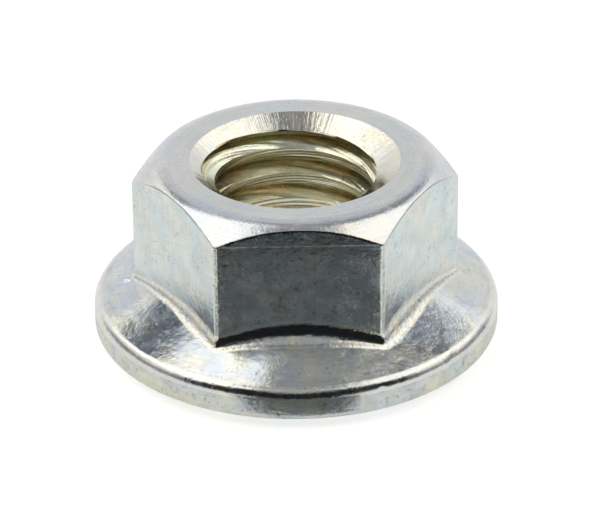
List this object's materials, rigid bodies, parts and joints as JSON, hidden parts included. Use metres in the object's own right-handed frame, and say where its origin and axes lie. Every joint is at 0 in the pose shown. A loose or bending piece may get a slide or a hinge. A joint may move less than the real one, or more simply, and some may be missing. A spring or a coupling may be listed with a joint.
{
  "type": "serrated flange nut",
  "caption": "Hexagon nut forged in one piece with a round sloping flange, radial locking serrations under it and a right-hand coarse thread through it.",
  "frame": {"origin": "centre of the bearing plane, on the bore axis, where the tips of the serrations stand", "axes": "+Z along the bore axis, from the flange towards the hexagon's top; +X through a corner of the hexagon, so one flat faces -Y"},
  "size_m": [0.0216, 0.0216, 0.01],
  "materials": {
    "zinc_plated_steel": "bright zinc plate with a clear passivate, satin, faintly mottled"
  },
  "bodies": {
    "root": {"flange_nut": "zinc_plated_steel"}
  },
  "joints": []
}
